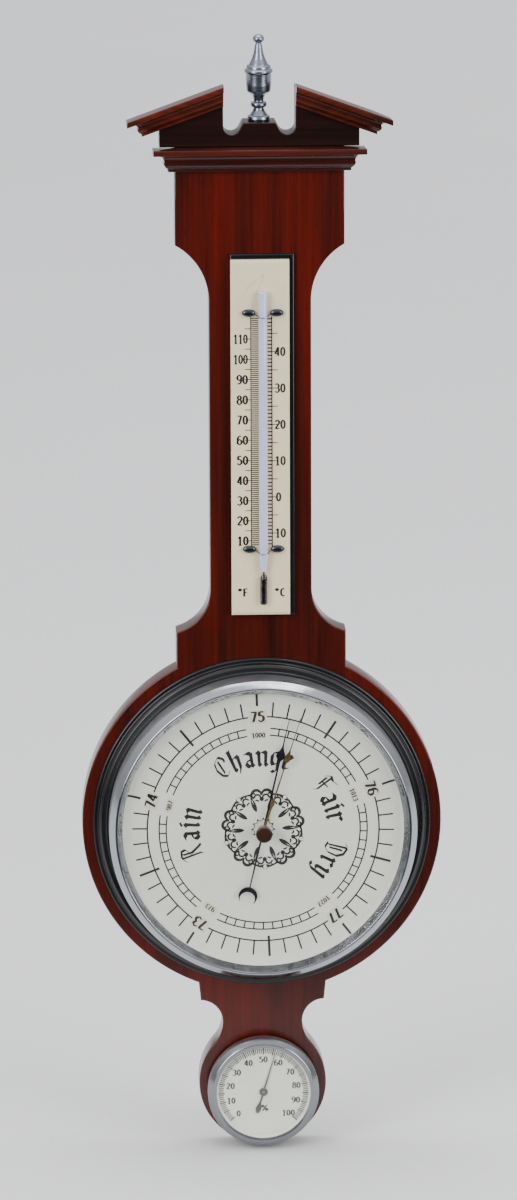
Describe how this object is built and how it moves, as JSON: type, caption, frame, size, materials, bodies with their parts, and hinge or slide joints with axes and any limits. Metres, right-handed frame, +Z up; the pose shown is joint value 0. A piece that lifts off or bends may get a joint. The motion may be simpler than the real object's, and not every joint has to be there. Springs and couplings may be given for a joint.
{
  "type": "wall barometer",
  "caption": "Banjo shaped wall barometer: broken pediment with a metal finial, thermometer, aneroid barometer dial with a set hand, and hygrometer.",
  "frame": {"origin": "where the wall screw bears at the top of the hanger plate's slot, on the plane of the wall", "axes": "+X to the viewer's right, +Y into the wall, +Z up; the front faces -Y"},
  "size_m": [0.2234, 0.0532, 0.7024],
  "materials": {
    "mahogany": "french polished, reddish brown",
    "dark_mahogany": "french polished, dark",
    "finial_metal": "turned, bright, slightly tarnished",
    "steel": "plain steel",
    "black_lacquer": "black lacquer, satin",
    "cream_plate": "satin cream",
    "tube_glass": "clear front, opal back",
    "thermometer_metal": "liquid metal",
    "bright_chrome": "plated, with small pits",
    "clear_glass": "flat, clear",
    "silvered_dial": "matt, printed in black",
    "brass": "plain brass",
    "blued_steel": "black, satin"
  },
  "bodies": {
    "case": {"case_board": "mahogany", "pediment_panel": "dark_mahogany", "cornice_front": "dark_mahogany", "cornice_return_left": "dark_mahogany", "cornice_return_right": "dark_mahogany", "raking_moulding_left": "dark_mahogany", "raking_moulding_right": "dark_mahogany", "raking_return_left": "dark_mahogany", "raking_return_right": "dark_mahogany", "finial": "finial_metal", "hanger_plate": "steel", "hanger_screw_left": "steel", "hanger_screw_right": "steel", "clip_pin_lower_left": "steel", "clip_pin_lower_right": "steel", "clip_pin_upper_left": "steel", "clip_pin_upper_right": "steel", "clip_wire_lower": "steel", "clip_wire_upper": "steel", "case_screw_1": "steel", "case_screw_2": "steel", "case_screw_3": "steel", "instrument_case": "steel", "hygrometer_case": "steel", "thermometer_backing": "black_lacquer", "surround_ring": "black_lacquer", "scale_plate": "cream_plate", "thermometer_tube": "tube_glass", "thermometer_liquid": "thermometer_metal", "bezel": "bright_chrome", "reflector_ring": "bright_chrome", "hygrometer_bezel": "bright_chrome", "barometer_glass": "clear_glass", "hygrometer_glass": "clear_glass", "dial_plate": "silvered_dial", "hygrometer_dial": "silvered_dial", "movement_base": "brass", "aneroid_capsule": "brass", "rocker_bracket_lower": "brass", "rocker_bracket_upper": "brass", "movement_plate_back": "brass", "movement_plate_front": "brass", "movement_pillar_1": "brass", "movement_pillar_2": "brass", "movement_pillar_3": "brass", "knob_bush": "brass", "humidity_coil": "brass", "hairspring": "blued_steel"},
    "sector": {"sector_gear": "brass", "sector_arbor": "steel"},
    "pointer": {"pointer_arbor": "steel", "pressure_hand": "blued_steel"},
    "rocker": {"rocking_shaft": "steel"},
    "stud": {"capsule_stud": "steel"},
    "set_pointer": {"set_hand": "brass", "set_knob": "bright_chrome"},
    "hygrometer_pointer": {"hygrometer_hand": "blued_steel", "hygrometer_arbor": "steel"},
    "adjuster": {"adjusting_screw": "steel"}
  },
  "joints": [
    {"name": "sector_swing", "type": "hinge", "parent": "case", "child": "sector", "pos_m": [-0.0264, -0.0292, -0.392], "axis": [0, 1, 0], "range_deg": [-13.1, 15.7], "stiffness_Nm_per_rad": 0.4},
    {"name": "pointer_turn", "type": "hinge", "parent": "case", "child": "pointer", "pos_m": [0, -0.0397, -0.392], "axis": [0, 1, 0], "range_deg": [-157, 131], "deforming": ["hairspring"]},
    {"name": "rocker_turn", "type": "hinge", "parent": "case", "child": "rocker", "pos_m": [-0.02805, -0.0185, -0.392], "axis": [0, 0, 1], "range_deg": [-13.1, 15.7]},
    {"name": "capsule_lift", "type": "slide", "parent": "case", "child": "stud", "axis": [0, -1, 0], "range_m": [-0.00104, 0.00125], "deforming": ["aneroid_capsule"]},
    {"name": "set_hand_turn", "type": "hinge", "parent": "case", "child": "set_pointer", "pos_m": [0, -0.05, -0.392], "axis": [0, 1, 0], "continuous": true},
    {"name": "hygrometer_turn", "type": "hinge", "parent": "case", "child": "hygrometer_pointer", "pos_m": [0, -0.0285, -0.5653], "axis": [0, 1, 0], "range_deg": [-148.3, 115.7], "stiffness_Nm_per_rad": 0.002, "deforming": ["humidity_coil"]},
    {"name": "adjusting_screw_turn", "type": "hinge", "parent": "case", "child": "adjuster", "pos_m": [-0.03255, -0.003, -0.392], "axis": [0, 1, 0], "range_deg": [-180, 180]}
  ],
  "couplings": [
    {"joint": "pointer_turn", "follows": "sector_swing", "ratio": -10},
    {"joint": "rocker_turn", "follows": "sector_swing", "ratio": 1},
    {"joint": "capsule_lift", "follows": "sector_swing", "m_per_rad": 0.0045}
  ]
}
